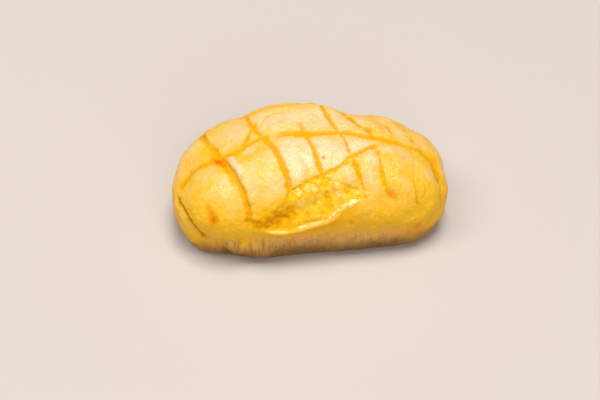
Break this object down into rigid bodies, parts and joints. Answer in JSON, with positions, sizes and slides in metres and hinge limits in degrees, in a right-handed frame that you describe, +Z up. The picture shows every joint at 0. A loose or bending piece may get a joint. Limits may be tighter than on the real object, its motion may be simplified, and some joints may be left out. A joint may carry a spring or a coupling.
{
  "type": "garlic bread",
  "caption": "Whole oval bun of garlic bread, slashed across its domed top in a lattice, with a buttered hollow and a raised lip along its front; it rests on its flat base",
  "frame": {"origin": "on the ground, under the middle of the bun's box", "axes": "+X along the bun, from its folded end to its plain end; +Y towards its back, away from the buttered lip; +Z up"},
  "size_m": [0.1632, 0.0958, 0.0573],
  "materials": {
    "crust": "satin",
    "butter": "gloss"
  },
  "bodies": {
    "root": {"loaf": "crust"}
  },
  "joints": []
}
